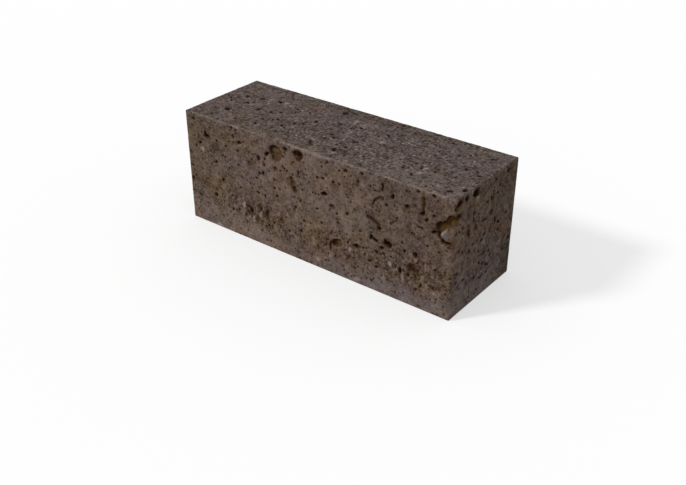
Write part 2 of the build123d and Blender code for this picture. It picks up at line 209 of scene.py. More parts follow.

# Pits that are deeper than the small ones: place, length, width, turn, depth, and how dark
# their painted shade is where that is less than 1
DEEP_PITS = {
    FRONT: [
        (-26.6, 71.2, 10.2, 10.4, 0, 1.6), (-7.6, 75.3, 7.6, 7, 0, 1.7), (-14.2, 57.2, 3.4, 3, 60, 1.5),
        (-12.9, 54.9, 4.8, 3.8, 100, 1.5), (-12.6, 52.4, 5, 4.2, 100, 1),
        (-11.9, 50.2, 4.2, 3.4, 110, 1.7), (61.5, 36.9, 4.4, 4.2, 0, 1.8), (55.9, 32.5, 3.6, 2.6, 20, 1.4),
        (-87, 66.6, 5.4, 2.8, -10, 1.5), (12.3, 55, 4.4, 3.4, 10, 1.6), (37.4, 27.4, 4.2, 2.8, -12, 1.5),
        # crack under the stone of the broken corner, and the hole beside it
        (95.3, 54.4, 4.2, 2.4, -58, 2), (97.8, 52.3, 4.6, 2.5, -30, 2.1), (101.4, 51.5, 6, 2.6, 0, 2.2),
        (92.6, 56, 3.8, 2.6, 0, 1.8), (94.9, 56.4, 2.6, 1.9, 0, 1.5),
        # rim of the broken corner
        (93.8, 60.4, 4, 1.8, 70, 1.6, 0.8), (96.6, 63.2, 5.2, 1.9, 25, 1.6), (100, 66, 3.6, 1.7, 62, 1.6),
        (102.4, 69, 4.2, 1.8, 20, 1.6),
    ],
    WEARING: [
        (-65.2, 15.1, 5.2, 3, -35, 1.4), (-17.7, 25.4, 4.4, 3.5, -40, 1.5),
        (-85.4, -15.6, 5.6, 4, -60, 1.8), (11, -22.8, 5.2, 2.7, -40, 1.3), (102.6, -21.4, 4, 3.4, 20, 1.5),
        (96, -27, 3.9, 3.5, 30, 1.5),
    ],
    RIGHT_END: [
        (-13, 76, 7.6, 4.6, -12, 2.4), (-23.4, 76.4, 4.6, 3.4, -8, 1.8), (-30.8, 75.8, 6.4, 2.8, 5, 1.2),
        (-32.2, 67.2, 7, 5, 10, 1.3), (6.8, 55, 5, 3.3, 15, 1.8), (11.8, 48, 5, 2, 95, 1.2),
    ],
}

# Strewn at random over each face: how many fine pores, and how many small pits where none is
# listed. On the long sides a share of them lies about the middle of the rough band.
STREWN = {
    FRONT: (380, 0), BACK: (560, 110), WEARING: (560, 0), RIGHT_END: (190, 0), LEFT_END: (190, 36),
    BED: (260, 40),
}
PORE_MM = (1.0, 2.1)
PIT_MM = (1.9, 3.4)
BAND_SHARE = 0.3
BAND_MM = 22.0
BAND_SPREAD_MM = 6.0

# Voids in the material, darkened with painted shade: how deep a hollow is before its painted shade
# starts, how much more makes it dark, how far its painted lit, stained side is from the rim whose
# shade is painted on it, how far its brown halo spreads, and how wide a void has to be to count as large
HOLLOW_MM = 0.12
DARKENING_MM = 0.6
RIM_SHADE_MM = 1.7
HALO_MM = 0.9
LARGE_MM = 2.2

# Ochre crust: place, width, height, turn, strength. Inside a void it stands for the lit side, as painted
# light that also lifts the void's painted shade.
OCHRE_AND_PAINTED_LIT_SPOTS = {
    FRONT: [
        # gap between the corner's rim and its stone
        (97, 60.8, 6, 3.4, 40, 0.9), (101.2, 64, 5.6, 4.4, 45, 0.95), (103.6, 66.4, 4, 4.2, 0, 1),
        (104.2, 52.4, 2.2, 2.2, 0, 0.8), (103.4, 55.4, 3, 4, 0, 0.35),
        # crust beside the slot and the crescent
        (84.2, 76, 2.6, 6, 0, 0.7), (83.6, 70, 2.2, 8, 0, 0.6), (53, 64.4, 6, 2.6, 20, 0.5),
        (38, 69, 2.4, 6, 0, 0.3), (-66, 68, 2.4, 9, 0, 0.3), (86, 24, 7, 6, 0, 0.3),
        (-6, 56.5, 3, 4, 0, 0.3), (62, 40, 3, 4, 0, 0.2),
    ],
    RIGHT_END: [
        (-32.4, 66.4, 6.6, 3.8, 12, 0.85), (-33.6, 72.6, 2.4, 3.6, 0, 0.35),
    ],
    BACK: [(26, 71, 4.6, 3.4, 0, 0.5), (-65, 67, 5.4, 3.2, 20, 0.5), (-24, 30, 3, 4.4, 0, 0.4)],
    LEFT_END: [(15, 69, 4, 3.4, 0, 0.5)],
}

# Painted light and shade inside voids, in the same order of values: where the floor is painted lit,
# stained and pale (above 0), and where it keeps its painted shade (below 0)
PAINTED_LIGHT_FLOOR_SPOTS = {
    FRONT: [
        (-26.6, 69.9, 9.4, 9.6, 0, 0.85), (-8.4, 75.8, 8.2, 7.6, 0, -1), (-10.2, 72.4, 3.8, 2.8, 0, 0.85),
        (-5.4, 74, 3.4, 4.2, 0, 0.5), (84.3, 71.5, 3, 8, 0, 0.45), (-49.3, 23.6, 3.4, 5, 0, 0.3),
        (-41.4, 28.2, 6, 5.4, 0, 0.62), (-34.6, 25.8, 4.4, 6.6, 0, 0.75), (23.2, 23.8, 9, 4.8, 15, 0.9),
        (100.2, 51.9, 7.4, 3.2, 0, -1), (-13.4, 55, 5, 7, 0, 0.8), (-12, 50.4, 4, 4, 0, 0.3),
        (-40.8, 64.2, 4.6, 3.6, 20, 0.9), (-49.6, 57.4, 6.6, 5.4, 0, 0.65),
        (18.6, 48.2, 5.4, 5.4, 0, 0.85), (61, 36.8, 7, 5.6, 0, -1), (-28, 58.8, 3.6, 2.6, 0, 0.6),
        (80.4, 36.4, 4, 4, 0, 0.25), (77.6, 28.2, 5, 4, 0, 0.35),
    ],
    RIGHT_END: [(-13, 76, 12, 9, 0, -0.8), (-23, 76, 8, 6, 0, -1), (-32, 67.4, 7, 4, 10, 0.2)],
}

# Broad changes of tone: place, width, height, lighter or darker, and ochre or ash
TONES = {
    FRONT: [
        (-92, 68, 46, 34, -0.1, 0.35), (2, 58, 90, 40, 0.09, -0.02), (76, 50, 76, 66, -0.17, 0),
        (-36, 20, 56, 16, -0.15, 0.05), (26, 21, 50, 14, -0.13, 0.3), (-60, 6, 90, 18, 0.29, -0.1),
        (50, 5, 120, 16, 0.14, -0.75), (70, 23, 34, 12, -0.12, 0.1), (-84, 32, 30, 18, -0.02, 0.4),
        (-52, 56, 34, 22, 0.03, -0.2), (98, 30, 18, 26, -0.04, 0.35), (3, 24, 16, 18, 0.08, 0.35),
        (-14, 10, 30, 14, -0.1, 0), (20, 76, 80, 8, 0.05, 0), (-90, 46, 46, 66, -0.07, 0),
        (-66, 59, 36, 14, -0.11, 0.05), (-32, 60, 12, 10, -0.08, 0), (-6, 71, 12, 10, 0.12, 0.05),
        (60, 73, 50, 13, -0.13, 0), (12, 73, 28, 12, -0.06, 0), (46, 60, 16, 10, 0.13, -0.05),
        (74, 47, 18, 12, -0.1, -0.25), (-12, 22, 32, 16, 0.14, 0), (40, 35, 26, 12, 0.12, 0),
        (64, 34, 24, 12, -0.08, 0), (40, 20, 26, 9, -0.07, 0), (0, 8, 70, 12, -0.08, 0.2),
        (-72, 7, 14, 12, -0.1, 0), (32, 7, 10, 9, 0.24, -0.1), (-39, 44, 26, 14, 0.05, -0.2),
        (-99, 60, 12, 14, 0.13, 0), (-76, 34, 24, 12, 0.1, 0), (20, 46, 60, 12, 0.05, 0),
        (26, 34, 40, 10, 0.05, 0), (-54, 6, 30, 9, 0.1, 0), (46, 8, 12, 10, -0.1, 0),
        (32, 73, 12, 10, 0.08, 0), (-4, 69, 10, 8, 0.08, 0), (66, 60, 50, 9, 0.07, 0),
        (-88, 32, 30, 12, 0, 0.35), (72, 8, 12, 9, 0.07, 0), (10, 62, 90, 3, 0.03, 0),
        # dull arc, and the pale and olive patches below it
        (46.5, 50.2, 6, 3.6, -0.34, 0.15), (51, 49.4, 6, 3.4, -0.3, 0.15),
        (53.6, 46.8, 4.4, 3.6, -0.24, 0.1), (54, 40.6, 9, 4.6, 0.18, 0.1), (87, 24, 11, 7, -0.12, 0.35),
        (83, 21, 8, 6, 0.05, 0.35), (-67.5, 68, 4, 13, -0.12, 0.4),
    ],
    BACK: [
        (60, 66, 50, 20, 0.08, 0.2), (-50, 60, 60, 30, -0.1, 0.05), (10, 42, 70, 28, 0.08, -0.05),
        (-70, 20, 60, 16, -0.12, 0.3), (30, 18, 70, 14, -0.1, 0.2), (-30, 5, 120, 15, 0.2, -0.45),
        (82, 40, 40, 40, -0.06, 0.1), (85, 8, 40, 14, 0.15, -0.3), (-92, 62, 26, 30, 0.04, 0.35),
    ],
    LEFT_END: [
        (0, 68, 60, 20, 0.05, 0.25), (-15, 32, 30, 30, -0.1, 0.1), (5, 7, 60, 16, 0.2, -0.4),
        (20, 45, 20, 30, -0.08, 0.1),
    ],
    RIGHT_END: [
        (4, 72, 76, 22, 0, 0.2), (-20, 48, 20, 36, -0.02, 0.1), (2, 46, 22, 26, 0, -0.15),
        (-4, 22, 66, 34, 0.02, -0.45), (-12, 5, 62, 20, 0.3, -0.5), (31, 16, 16, 40, -0.18, 0.1),
        (27, 70, 18, 18, -0.2, 0), (-29, 58, 10, 12, 0.14, 0), (-31, 44, 10, 34, 0.12, 0.2),
        (-30, 73, 12, 16, -0.2, 0.1), (29, 35, 12, 14, 0.12, 0), (8, 21, 16, 12, -0.07, 0),
        (-28, 8, 14, 14, 0.1, 0), (-17.5, 53.6, 3.4, 8, -0.18, 0.15),
    ],
    WEARING: [
        (-84, 10, 40, 50, 0.04, 0), (6, 32, 110, 14, -0.24, 0.05), (72, -29, 80, 16, 0.08, 0.05),
        (-40, -31, 50, 8, 0.05, 0.4), (0, -30, 20, 10, -0.02, 0.35), (-45, 20, 12, 18, 0, 0.35),
        (3, 26, 10, 12, 0, 0.35), (86, 24, 16, 10, 0, 0.35), (-84, -29, 40, 14, 0, 0.2),
        (-14, -6, 30, 50, -0.1, 0), (-99, -17, 12, 14, 0.15, 0), (-20, -17, 14, 12, 0.16, 0),
        (-84, 6, 14, 14, -0.1, 0), (46, -17, 12, 12, -0.06, 0), (10, 6, 50, 10, -0.05, 0),
        (-52, 24, 16, 16, 0.07, 0), (32, -14, 12, 16, 0.1, 0), (6, -7, 10, 8, 0.12, 0),
        (70, 10, 34, 18, 0.09, 0), (-52, -27, 20, 10, 0.08, 0), (46, -29, 10, 8, 0.1, 0),
        (6, 29, 10, 8, 0.08, 0), (98, 10, 12, 20, 0.07, 0), (-46, -16, 10, 10, 0.07, 0),
        (88, 8, 20, 20, 0, -0.25), (78, 8, 40, 24, -0.05, -0.1),
    ],
}

# Reddish places: place, width, height, turn, strength
REDDISH_SPOTS = {
    FRONT: [
        (92, 48, 28, 60, 0, 0.7), (84, 33, 16, 12, 0, 0.9), (56, 32, 14, 14, 0, 1), (78, 27, 9, 9, 0, 0.8),
        (14, 15, 50, 16, 0, 0.6), (-22, 68, 10, 8, 0, 0.6), (-46, 60, 16, 10, 0, 0.7),
        (-92, 34, 26, 12, 0, 0.5), (76, 19, 18, 10, 0, 0.6), (103.2, 58.6, 4.4, 6.6, 0, 1),
        (-8, 66, 16, 12, 0, 0.4), (-42, 17.5, 9, 8, 0, 0.8), (-41, 28, 8, 7, 0, 1),
    ],
    RIGHT_END: [(-24, 72, 20, 12, 0, 0.4)],
    WEARING: [(-34, 17, 14, 12, 0, 0.6), (-74, -22, 18, 18, 0, 0.7)],
}

# Greenish-grey places, in the same order of values
GREENISH_SPOTS = {
    WEARING: [
        (82, 28, 46, 13, 0, 0.9), (-98, 28, 13, 13, 0, 0.9), (-46, 28, 24, 12, 0, 0.7),
        (-84, -28, 34, 12, 0, 0.8), (2, -28, 26, 11, 0, 0.6), (34, -29, 12, 8, 0, 0.6),
        (42, 22, 12, 20, 30, 0.4), (78, -24, 22, 16, 0, 0.5),
    ],
    FRONT: [
        (-6, 58, 14, 15, 0, 0.8), (46, 46, 18, 12, 0, 0.7), (-98, 20, 14, 14, 0, 0.6),
        (-84, 9, 18, 12, 0, 0.5), (4, 46, 22, 14, 0, 0.4), (99, 8, 12, 14, 0, 0.6),
        (-82, 50, 16, 14, 0, 0.4),
    ],
    RIGHT_END: [(0, 6, 80, 15, 0, 1), (29, 18, 13, 26, 0, 1), (14, 62, 50, 26, 0, 0.45)],
}

# Pale grains and stone of the mix that show in a face, and a painted highlight on the stone in the broken
# corner, in the same order of values
PALE_AND_HIGHLIGHT_SPOTS = {
    FRONT: [
        (-92, 56, 2.4, 2.6, 0, 0.8), (-56.5, 25, 2.4, 4.6, 0, 0.6), (32, 23.5, 2, 2.8, 0, 0.7),
        (62.5, 24, 2, 3.6, 0, 0.85), (7, 6.5, 2.4, 2.6, 0, 0.7), (80.4, 32.8, 2.4, 2, 0, 0.5),
        (37.6, 3.5, 3, 2.6, 0, 0.5), (-81, 1.6, 5, 2.2, 0, 0.9), (40.6, 27.2, 1.6, 2.8, 10, 0.6),
        (46, 24.4, 2.4, 1.8, 30, 0.45), (8, 78.6, 4.4, 1.6, 0, 0.5), (16.5, 13, 1.7, 2.2, 0, 0.55),
        (71.5, 18, 1.9, 7, 5, 0.5), (-48, 17, 1.7, 6.4, 8, 0.55), (-41.5, 22, 1.6, 5, 0, 0.45),
        (-23.4, 17, 2.4, 2.4, 0, 0.45), (94, 15.5, 2.4, 1.9, 0, 0.55), (85, 22, 1.7, 7, -30, 0.45),
        (92.4, 26, 1.6, 6, -10, 0.3), (58, 13, 1.7, 2.2, 0, 0.45), (41, 70, 1.6, 2.4, 0, 0.35),
        (-79, 28, 1.6, 3, 0, 0.3), (100, 69, 1.6, 1.6, 0, 0.3),
        # the stone in the broken corner, pale, with a painted highlight along its upper edge
        (97.4, 56.8, 4.8, 2.2, 55, 0.7), (99.4, 59, 3, 1.8, 42, 0.45), (103.6, 60.6, 3.4, 2.6, 20, 0.14),
        # worn arris between the front and the wearing face
        (-8, 79.5, 17, 1.2, 0, 0.4), (9, 79.2, 18, 1.5, 0, 0.34), (40, 79.6, 44, 1, 0, 0.2),
        (82, 79.5, 44, 1, 0, 0.24), (-60, 79.6, 40, 1, 0, 0.16),
    ],
    RIGHT_END: [
        (-33.6, 61, 3, 4, 0, 0.2),
        (-11, 71.5, 3.4, 1.7, 0, 0.75), (-26, 61, 2.4, 1.6, 0, 0.5), (0, 37.5, 3.2, 1.7, 0, 0.65),
        (-25, 53, 2, 2, 0, 0.4), (6, 23, 2, 1.4, 0, 0.4), (5, 78, 3, 1.6, 0, 0.4),
    ],
    BACK: [
        (40, 62, 2.6, 2.4, 0, 0.6), (-60, 30, 2, 4, 0, 0.5), (-15, 18, 2, 3.4, 0, 0.5),
        (75, 22, 2, 3, 0, 0.4), (-90, 70, 2.4, 2, 0, 0.5), (12, 9, 2.6, 2, 0, 0.5),
        (-38, 24, 1.6, 5, 0, 0.35),
    ],
    LEFT_END: [
        (10, 22, 2.4, 2, 0, 0.5), (-20, 60, 2, 2.4, 0, 0.5), (22, 8, 2, 3, 0, 0.4),
    ],
    WEARING: [
        (13.5, -27, 2.4, 2.4, 0, 0.75), (20, -27, 2, 2, 0, 0.4), (70, -11, 2, 3, 0, 0.75),
        (70, -18.5, 2.6, 3, 0, 0.75), (5.5, 14, 2.2, 2, 0, 0.5), (-4, 19, 2.2, 4, 0, 0.65),
        (-8.4, -19.2, 5, 1.8, -35, 0.5), (27.5, 3, 3.4, 3, 0, 0.8), (-60, 15, 2, 4, -45, 0.75),
        (-70, 8, 2.2, 2.2, 0, 0.7), (79, -28, 1.6, 2, 0, 0.5), (-73, 14, 2, 3, 20, 0.5),
        (24, 8, 1.6, 3, -45, 0.5),
    ],
}

# Coarse light and dark grains, in the same order of values
GRITTY_SPOTS = {
    WEARING: [(20, -2, 90, 44, 0, 0.6), (40, -12, 50, 26, 0, 1), (-20, -20, 60, 22, 0, 0.6)],
    RIGHT_END: [(0, 40, 60, 50, 0, 0.3)],
    FRONT: [(-60, 50, 60, 50, 0, 0.3), (-38, 21, 64, 20, 0, 1), (78, 24, 54, 24, 0, 1)],
    BACK: [(-30, 22, 90, 18, 0, 1), (70, 24, 40, 20, 0, 0.8)],
}

# Blue-grey face of the stone in the broken corner
STONE_SPOTS = {FRONT: [(99.9, 55.5, 4.2, 4.4, 30, 1)]}


def turned_axes():
    """Rotation that keeps the random lumps from lining up with the faces."""
    a, b = math.radians(37), math.radians(53)
    about_z = np.array([[math.cos(a), -math.sin(a), 0], [math.sin(a), math.cos(a), 0], [0, 0, 1]])
    about_x = np.array([[1, 0, 0], [0, math.cos(b), -math.sin(b)], [0, math.sin(b), math.cos(b)]])
    return about_z @ about_x


TURN = turned_axes()
low, high = (np.array(corner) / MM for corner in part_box(NODE))
centre = (low + high) / 2
half = (high - low) / 2


def marks(listed):
    """Rows of a list that is kept by face, each with its face in front."""
    for face, rows in listed.items():
        for row in rows:
            yield face, *row


def along_face(axis):
    """The two axes that run along a face."""
    return [i for i in range(3) if i != axis]


def lumps(points, cell, seed):
    """Smooth random field between -1 and 1, with lumps about cell wide."""
    side = 64
    table = np.random.default_rng(seed).uniform(-1, 1, (side, side, side))
    place = points @ TURN.T / cell
    base = np.floor(place).astype(int)
    part = place - base
    part = part * part * (3 - 2 * part)
    total = np.zeros(len(points))
    for corner in np.ndindex(2, 2, 2):
        at = (base + corner) % side
        weight = np.prod(np.where(corner, part, 1 - part), axis=1)
        total += weight * table[at[:, 0], at[:, 1], at[:, 2]]
    return total


def rough(points, cell, seed, octaves=3):
    """Several sizes of lumps added up, each half as wide and high as the last."""
    total = sum(lumps(points, cell / 2**i, seed + i) / 2**i for i in range(octaves))
    return total / sum(1 / 2**i for i in range(octaves))


def ramp(value, start, stop):
    """0 before start, 1 after stop and smooth between."""
    t = np.clip((value - start) / (stop - start), 0, 1)
    return t * t * (3 - 2 * t)


def fall(value, start, stop):
    """1 before start, 0 after stop and smooth between."""
    return ramp(-value, -stop, -start)


def turned(u, v, degrees):
    """Offsets along and across a direction in a face."""
    c, s = math.cos(math.radians(degrees)), math.sin(math.radians(degrees))
    return c * u + s * v, c * v - s * u


def box_lattice(counts):
    """Numbered points of a box's skin, their places in steps, and its square faces."""
    number = np.full([n + 1 for n in counts], -1, np.int64)
    for axis in range(3):
        for end in (0, -1):
            place = [slice(None)] * 3
            place[axis] = end
            number[tuple(place)] = 0
    steps = np.argwhere(number == 0)
    number[tuple(steps.T)] = np.arange(len(steps))
    faces = []
    for axis in range(3):
        for end in (0, 1):
            sheet = number.take(-end, axis)
            ring = [sheet[:-1, :-1], sheet[1:, :-1], sheet[1:, 1:], sheet[:-1, 1:]]
            # so that every face looks outward
            if (axis == 1) == (end == 1):
                ring.reverse()
            faces.append(np.stack(ring, -1).reshape(-1, 4))
    return number, steps, np.concatenate(faces)


def outward(points):
    """Direction out of the block at each point of its box, fanned out near the arrises."""
    core = np.clip(points, low + FAN_MM, high - FAN_MM)
    away = points - core
    return away / np.linalg.norm(away, axis=1)[:, None]


def above_hull(points):
    """Distance from the block's rounded hull, negative inside."""
    past = np.abs(points - centre) - (half - HULL_ROUND_MM)
    outside = np.linalg.norm(np.maximum(past, 0), axis=1)
    return outside + np.minimum(past.max(axis=1), 0) - HULL_ROUND_MM


def on_hull(points, ways):
    """Where a line into the block first meets its rounded hull."""
    place = points + ways * HULL_ROUND_MM
    for _ in range(12):
        place = place - ways * above_hull(place)[:, None]
    return place


def cad_depth(points):
    """How far below the hull the CAD solid's surface lies at each point of the box."""
    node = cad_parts[NODE]
    corners = [vertex.co / MM for vertex in node.data.vertices]
    tree = BVHTree.FromPolygons(corners, [face.vertices for face in node.data.polygons])
    ways = outward(points)
    starts = on_hull(points, ways) + ways * LIFT_MM
    depth = np.zeros(len(points))
    for i, (start, way) in enumerate(zip(starts, ways)):
        hit = tree.ray_cast(Vector(start), Vector(-way), LOOK_MM)
        if hit[0] is not None:
            depth[i] = hit[3] - LIFT_MM
    return depth


class Skin:
    """The lattice over the block, and what is worked out at each of its points."""

    def __init__(self):
        self.counts = np.round((high - low) / GRID_MM).astype(int)
        self.number, steps, self.faces = box_lattice(self.counts)
        self.points = low + steps * (high - low) / self.counts
        self.ways = outward(self.points)
        self.hull = on_hull(self.points, self.ways)
        self.warp = np.stack([rough(self.points, WARP_MM, seed, 2) for seed in (11, 21, 31)], 1)
        self.fine = np.stack([rough(self.points, FINE_WARP_MM, seed, 2) for seed in (41, 51, 61)], 1)
        self.to_arris = np.sort(half - np.abs(self.points - centre), axis=1)[:, 1]
        self.drawn = self.points - self.slides()
        up = self.points[:, 2]
        self.top = ramp(up, high[2] - TOP_EDGE_MM, high[2])
        self.band = ramp(up, *BAND_FOOT_MM) * fall(up, *BAND_HEAD_MM) * (1 - self.top)
        self.pits = np.zeros(len(self.points))
        self.dark = np.zeros(len(self.points))

    def slides(self):
        """How far the marks at each point lie from their listed places."""
        shift = np.zeros(self.points.shape)
        share = ramp(self.to_arris, 0, SLIDE_FADE_MM)
        for (axis, end), (first, last, rise) in SLIDES.items():
            found = np.unique(self.number.take(-end, axis))
            a, b = along_face(axis)
            far = (self.points[found, a] - low[a]) / (high[a] - low[a])
            shift[found, a] = share[found] * (first + (last - first) * far)
            shift[found, b] = share[found] * rise
        return shift

    def near(self, face, across, up, reach):
        """Points of a face in a square about a listed place, with their offsets from it."""
        axis, end = face
        a, b = along_face(axis)
        reach += MARGIN_MM
        place = [None] * 3
        for i, value in ((a, across), (b, up)):
            step = (high[i] - low[i]) / self.counts[i]
            first = max(int((value - reach - low[i]) / step), 0)
            last = int((value + reach - low[i]) / step) + 2
            place[i] = slice(first, last)
        place[axis] = -end
        found = self.number[tuple(place)].ravel()
        return found, self.drawn[found, a] - across, self.drawn[found, b] - up, (a, b)

    def oval(self, face, across, up, long, wide, turn, reach, wander, fine):
        """Points near a mark, and how far out they lie in its uneven oval. Its outline is at 1."""
        found, u, v, (a, b) = self.near(face, across, up, reach)
        u = u + wander * (self.warp[found, a] + fine * self.fine[found, a])
        v = v + wander * (self.warp[found, b] + fine * self.fine[found, b])
        along, side = turned(u, v, turn)
        return found, (along / (long / 2)) ** 2 + (side / (wide / 2)) ** 2

    def pit(self, face, across, up, long, wide, turn=0.0, deep=None, strength=1.0):
        """Sinks an uneven round pit and paints shade into it."""
        if deep is None:
            deep = SMALL_PIT_DEPTH * wide
        wander = PIT_WANDER * min(long, 3.0)
        found, out = self.oval(face, across, up, long, wide, turn, 0.5 * long + 1.5, wander, 1.0)
        bowl = deep * np.clip(1 - out, 0, 1) ** 0.5
        self.pits[found] = np.maximum(self.pits[found], bowl)
        # painted shade of the pit
        self.dark[found] = np.maximum(self.dark[found], strength * np.clip(1.9 * (1.1 - out), 0, 1))

    def nudge(self, places, face, across, up, reach, along, rise):
        """Shifts the places round one point, less and less towards the reach."""
        found, u, v, (a, b) = self.near(face, across, up, reach)
        share = fall(np.hypot(u, v), 0.5 * reach, reach)
        places[found, a] -= along * share
        places[found, b] -= rise * share

    def spot(self, face, across, up, wide, tall, turn=0.0, edge=0.5):
        """Points under an uneven soft-edged spot, and how much each lies in it."""
        wander = SPOT_WANDER * min(wide, tall, 12)
        reach = 0.75 * max(wide, tall) + 2
        found, out = self.oval(face, across, up, wide, tall, turn, reach, wander, 0.5)
        return found, fall(np.sqrt(out), 1 - edge, 1 + edge)


def solid_depth(skin):
    """Depth of the solid's voids at each point, with uneven rims and flattened floors."""
    fade = ramp(half - np.abs(skin.points - centre), 0, 2.5)
    places = skin.drawn + fade * (0.50 * skin.warp + 0.3 * skin.fine)
    for nudge in marks(NUDGES):
        skin.nudge(places, *nudge)
    depth = cad_depth(places)
    for *where, floor_depth in marks(FLOORS):
        found, share = skin.spot(*where, edge=0.15)
        flat = np.minimum(depth[found], floor_depth + 9 * (1 - share))
        depth[found] = np.where(share > 0, flat, depth[found])
    return depth


def listed_holes(skin):
    """The skin's own pits at their listed places."""
    for row in (*marks(DEEP_PITS), *marks(SMALL_PITS)):
        skin.pit(*row)


def strewn_holes(skin):
    """Fine pores and small pits at random places, thicker in the rough band of the long sides."""
    rng = np.random.default_rng(7)
    for (axis, end), (pores, pits) in STREWN.items():
        a, b = along_face(axis)
        for sizes, count in ((PORE_MM, pores), (PIT_MM, pits)):
            for _ in range(count):
                across = rng.uniform(low[a] + 1, high[a] - 1)
                up = rng.uniform(low[b] + 1, high[b] - 1)
                if axis == 1 and rng.random() < BAND_SHARE:
                    up = rng.normal(BAND_MM, BAND_SPREAD_MM)
                size = sizes[0] + (sizes[1] - sizes[0]) * rng.random() ** 2
                slim, turn, strength = rng.uniform(0.6, 1), rng.uniform(0, 180), rng.uniform(0.3, 0.85)
                skin.pit((axis, end), across, up, size, slim * size, turn, STREWN_DEPTH * size, strength)


def relief(skin):
    """Depth of the grain and waves of the surface, apart from the pits: flat with hollows in it."""
    points, top, band = skin.points, skin.top, skin.band
    bed = fall(points[:, 2], 0, 1)
    wave = WAVE_DEEP_MM * np.clip(rough(points, WAVE_MM, 101, 2), 0, 1)
    lump = LUMP_DEEP_MM * np.clip(rough(points, LUMP_MM, 111, 3) + 0.1, 0, 1) * (1 + band + 0.4 * top)
    grain = GRAIN_DEEP_MM * np.clip(rough(points, GRAIN_MM, 121, 2) + 0.1, 0, 1)
    grain *= 1 + 0.6 * band + 0.6 * top
    kept = 1 - 0.6 * fall(skin.to_arris, 0.2, WEAR_MM)
    worn = fall(skin.to_arris, 0, WEAR_MM) * ramp(rough(points, WORN_MM, 131, 3), 0.05, 0.8)
    return (wave + lump + grain) * (1 - 0.7 * bed) * kept + WORN_DEEP_MM * worn * (1 - 0.6 * bed)


def surface_depth(skin, solid):
    """Depth of the skin below the hull at each point, with broken floors in its larger voids."""
    surface = relief(skin)
    depth = np.maximum(solid + surface, skin.pits + 0.5 * surface)
    inside = ramp(np.maximum(solid, skin.pits), 0.6, 1.4)
    broken = np.clip(1 + skin.warp[:, 0] + 0.8 * skin.fine[:, 1], 0, 3)
    return depth + inside * 0.22 * broken


def moved(skin, values, way, distance):
    """The values found at a distance along a direction, face by face."""
    result = values.copy()
    for axis in range(3):
        a, b = along_face(axis)
        flat = np.array([way[a], way[b]]) / math.hypot(way[a], way[b])
        steps = np.round(flat * distance / GRID_MM).astype(int)
        for end in (0, 1):
            sheet = skin.number.take(-end, axis)
            rows = np.clip(np.arange(sheet.shape[0]) + steps[0], 0, sheet.shape[0] - 1)
            columns = np.clip(np.arange(sheet.shape[1]) + steps[1], 0, sheet.shape[1] - 1)
            result[sheet] = values[sheet[rows][:, columns]]
    return result


def softened(skin, values, distance):
    """The values spread out over a distance on each face."""
    for way in ((1, 1, 1), (1, -1, 1), (1, 0, 0), (0, 1, 0), (0, 0, 1)):
        # never square to a face, so that it has a direction on each
        way = np.array(way) + 1e-6
        values = (values + moved(skin, values, way, distance) + moved(skin, values, -way, distance)) / 3
    return values


def spotted(skin, listed):
    """The strongest of the listed spots at each point, or 0."""
    mask = np.zeros(len(skin.points))
    for *where, strength in marks(listed):
        found, share = skin.spot(*where)
        mask[found] = np.maximum(mask[found], strength * share)
    return mask


def toned(skin):
    """How much lighter and how much more ochre each point is. Below 0 it is darker and more ash."""
    light = np.zeros(len(skin.points))
    hue = np.zeros(len(skin.points))
    for *where, lighter, more_ochre in marks(TONES):
        found, share = skin.spot(*where, edge=0.55)
        light[found] += lighter * share
        hue[found] += more_ochre * share
    return light, hue


def painted_lit_sides(skin, hole):
    """Painted light: where the inside of a void faces the lamp, it is painted lit in a stained tone."""
    toward = np.array(LIGHT_FROM)
    # painted lit side: where the point a little toward the lamp also lies in the void
    lit = np.minimum(hole, moved(skin, hole, toward, RIM_SHADE_MM))
    large = ramp(softened(skin, hole, LARGE_MM), 0.45, 0.75)
    by_chance = 0.6 * ramp(rough(skin.points, 7.0, 151, 2), -0.1, 0.2)
    # more painted light on faces that look toward the lamp
    facing = 0.4 + 0.6 * ramp(skin.ways @ toward, -0.2, 0.2)
    lit = lit * facing * np.maximum(large, by_chance)
    for *where, strength in marks(PAINTED_LIGHT_FLOOR_SPOTS):
        found, share = skin.spot(*where, edge=0.3)
        if strength > 0:
            lit[found] = np.maximum(lit[found], strength * share * hole[found])
        else:
            lit[found] *= 1 + strength * share
    return lit


def masks_of(skin, solid):
    """What the material needs to know at each point, between 0 and 1 except for light and crust."""
    voids = np.maximum(solid, skin.pits * (skin.pits > 1.0))
    # painted shade in voids: darker the deeper they are, and in the skin's own pits
    hole = np.maximum(1 - np.exp(-np.maximum(voids - HOLLOW_MM, 0) / DARKENING_MM), skin.dark)
    light, crust = toned(skin)
    return {
        "hole": hole,
        "lit": painted_lit_sides(skin, hole),
        "halo": softened(skin, hole, HALO_MM),
        "ochre": spotted(skin, OCHRE_AND_PAINTED_LIT_SPOTS),
        "red": spotted(skin, REDDISH_SPOTS),
        "green": spotted(skin, GREENISH_SPOTS),
        # pale grains and stone, with a painted highlight on the stone
        "pale": spotted(skin, PALE_AND_HIGHLIGHT_SPOTS),
        "stone": spotted(skin, STONE_SPOTS),
        "light": light,
        "crust": crust,
        "gritty": np.maximum(spotted(skin, GRITTY_SPOTS), 0.55 * skin.band),
        "arris": fall(skin.to_arris, 0.3, 1.3) * ramp(rough(skin.points, 7.0, 141, 2), -0.1, 0.5),
        "top": ramp(skin.ways[:, 2], 0.35, 0.85),
    }


def values_of(items, name, kind=int, width=1):
    """One property of all items of a mesh, as a row of numbers for each item."""
    values = np.empty(width * len(items), kind)
    items.foreach_get(name, values)
    return values.reshape(-1, width) if width > 1 else values


def faces_met(place, first, total):
    """Which face of the block each polygon of the mesh lies on, as axis and end."""
    middle = np.add.reduceat(place, first, axis=0) / total[:, None]
    reach = (middle - centre) / half
    axis = np.abs(reach).argmax(1)
    return axis, reach[np.arange(len(reach)), axis] > 0


